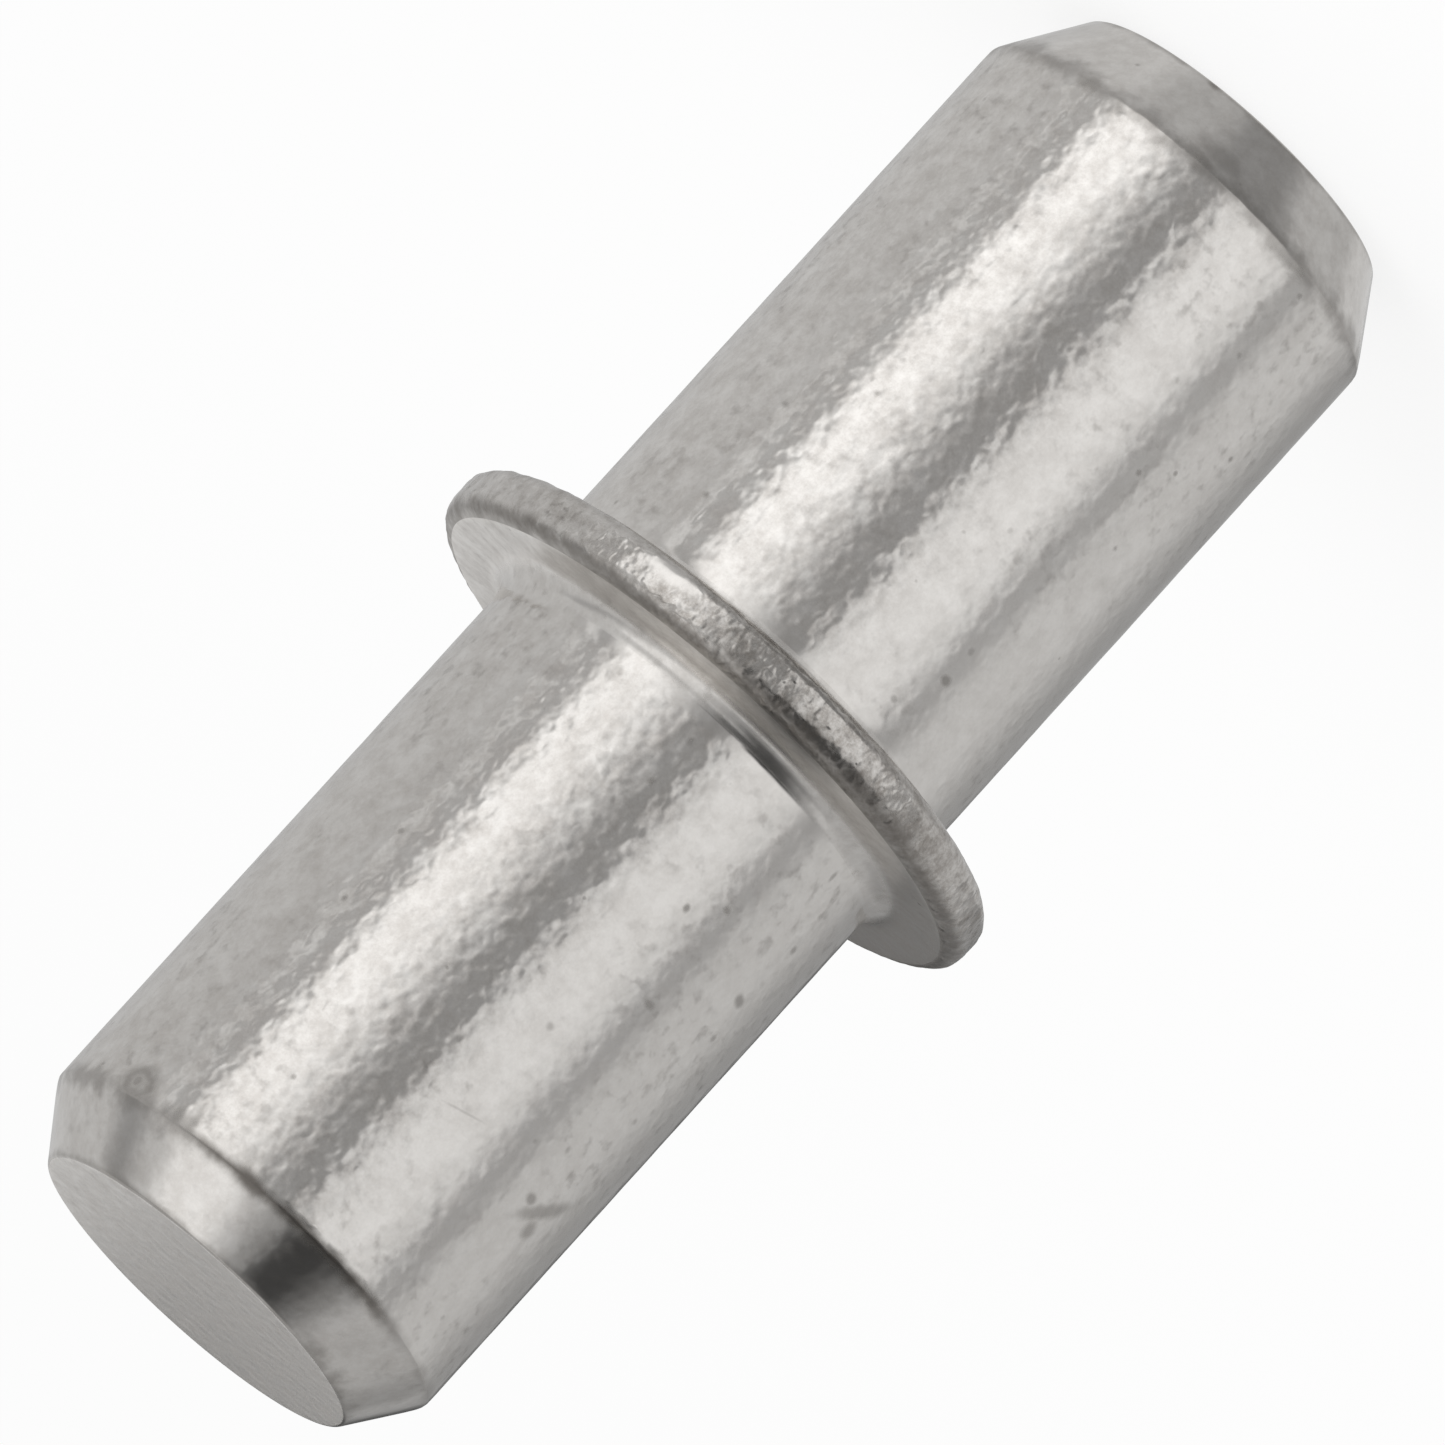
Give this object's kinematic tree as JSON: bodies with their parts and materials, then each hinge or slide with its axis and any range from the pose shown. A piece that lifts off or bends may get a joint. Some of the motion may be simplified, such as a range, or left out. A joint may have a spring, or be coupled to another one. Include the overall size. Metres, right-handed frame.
{
  "type": "shelf support pin",
  "caption": "Plated steel pin with a thin rounded collar at mid length and straight shanks with chamfered ends. It plugs into a cabinet's shelf hole and carries the shelf.",
  "frame": {"origin": "centre of the collar's lower face, where the collar meets the panel", "axes": "+Z along the pin's axis, out of the panel; the pin stands on the flat end of its lower shank"},
  "size_m": [0.007, 0.007, 0.016],
  "materials": {
    "plated_steel": "barrel-plated steel, satin bright, with a fine pebbled texture and small dark pits"
  },
  "bodies": {
    "root": {"shelf_pin": "plated_steel"}
  },
  "joints": []
}
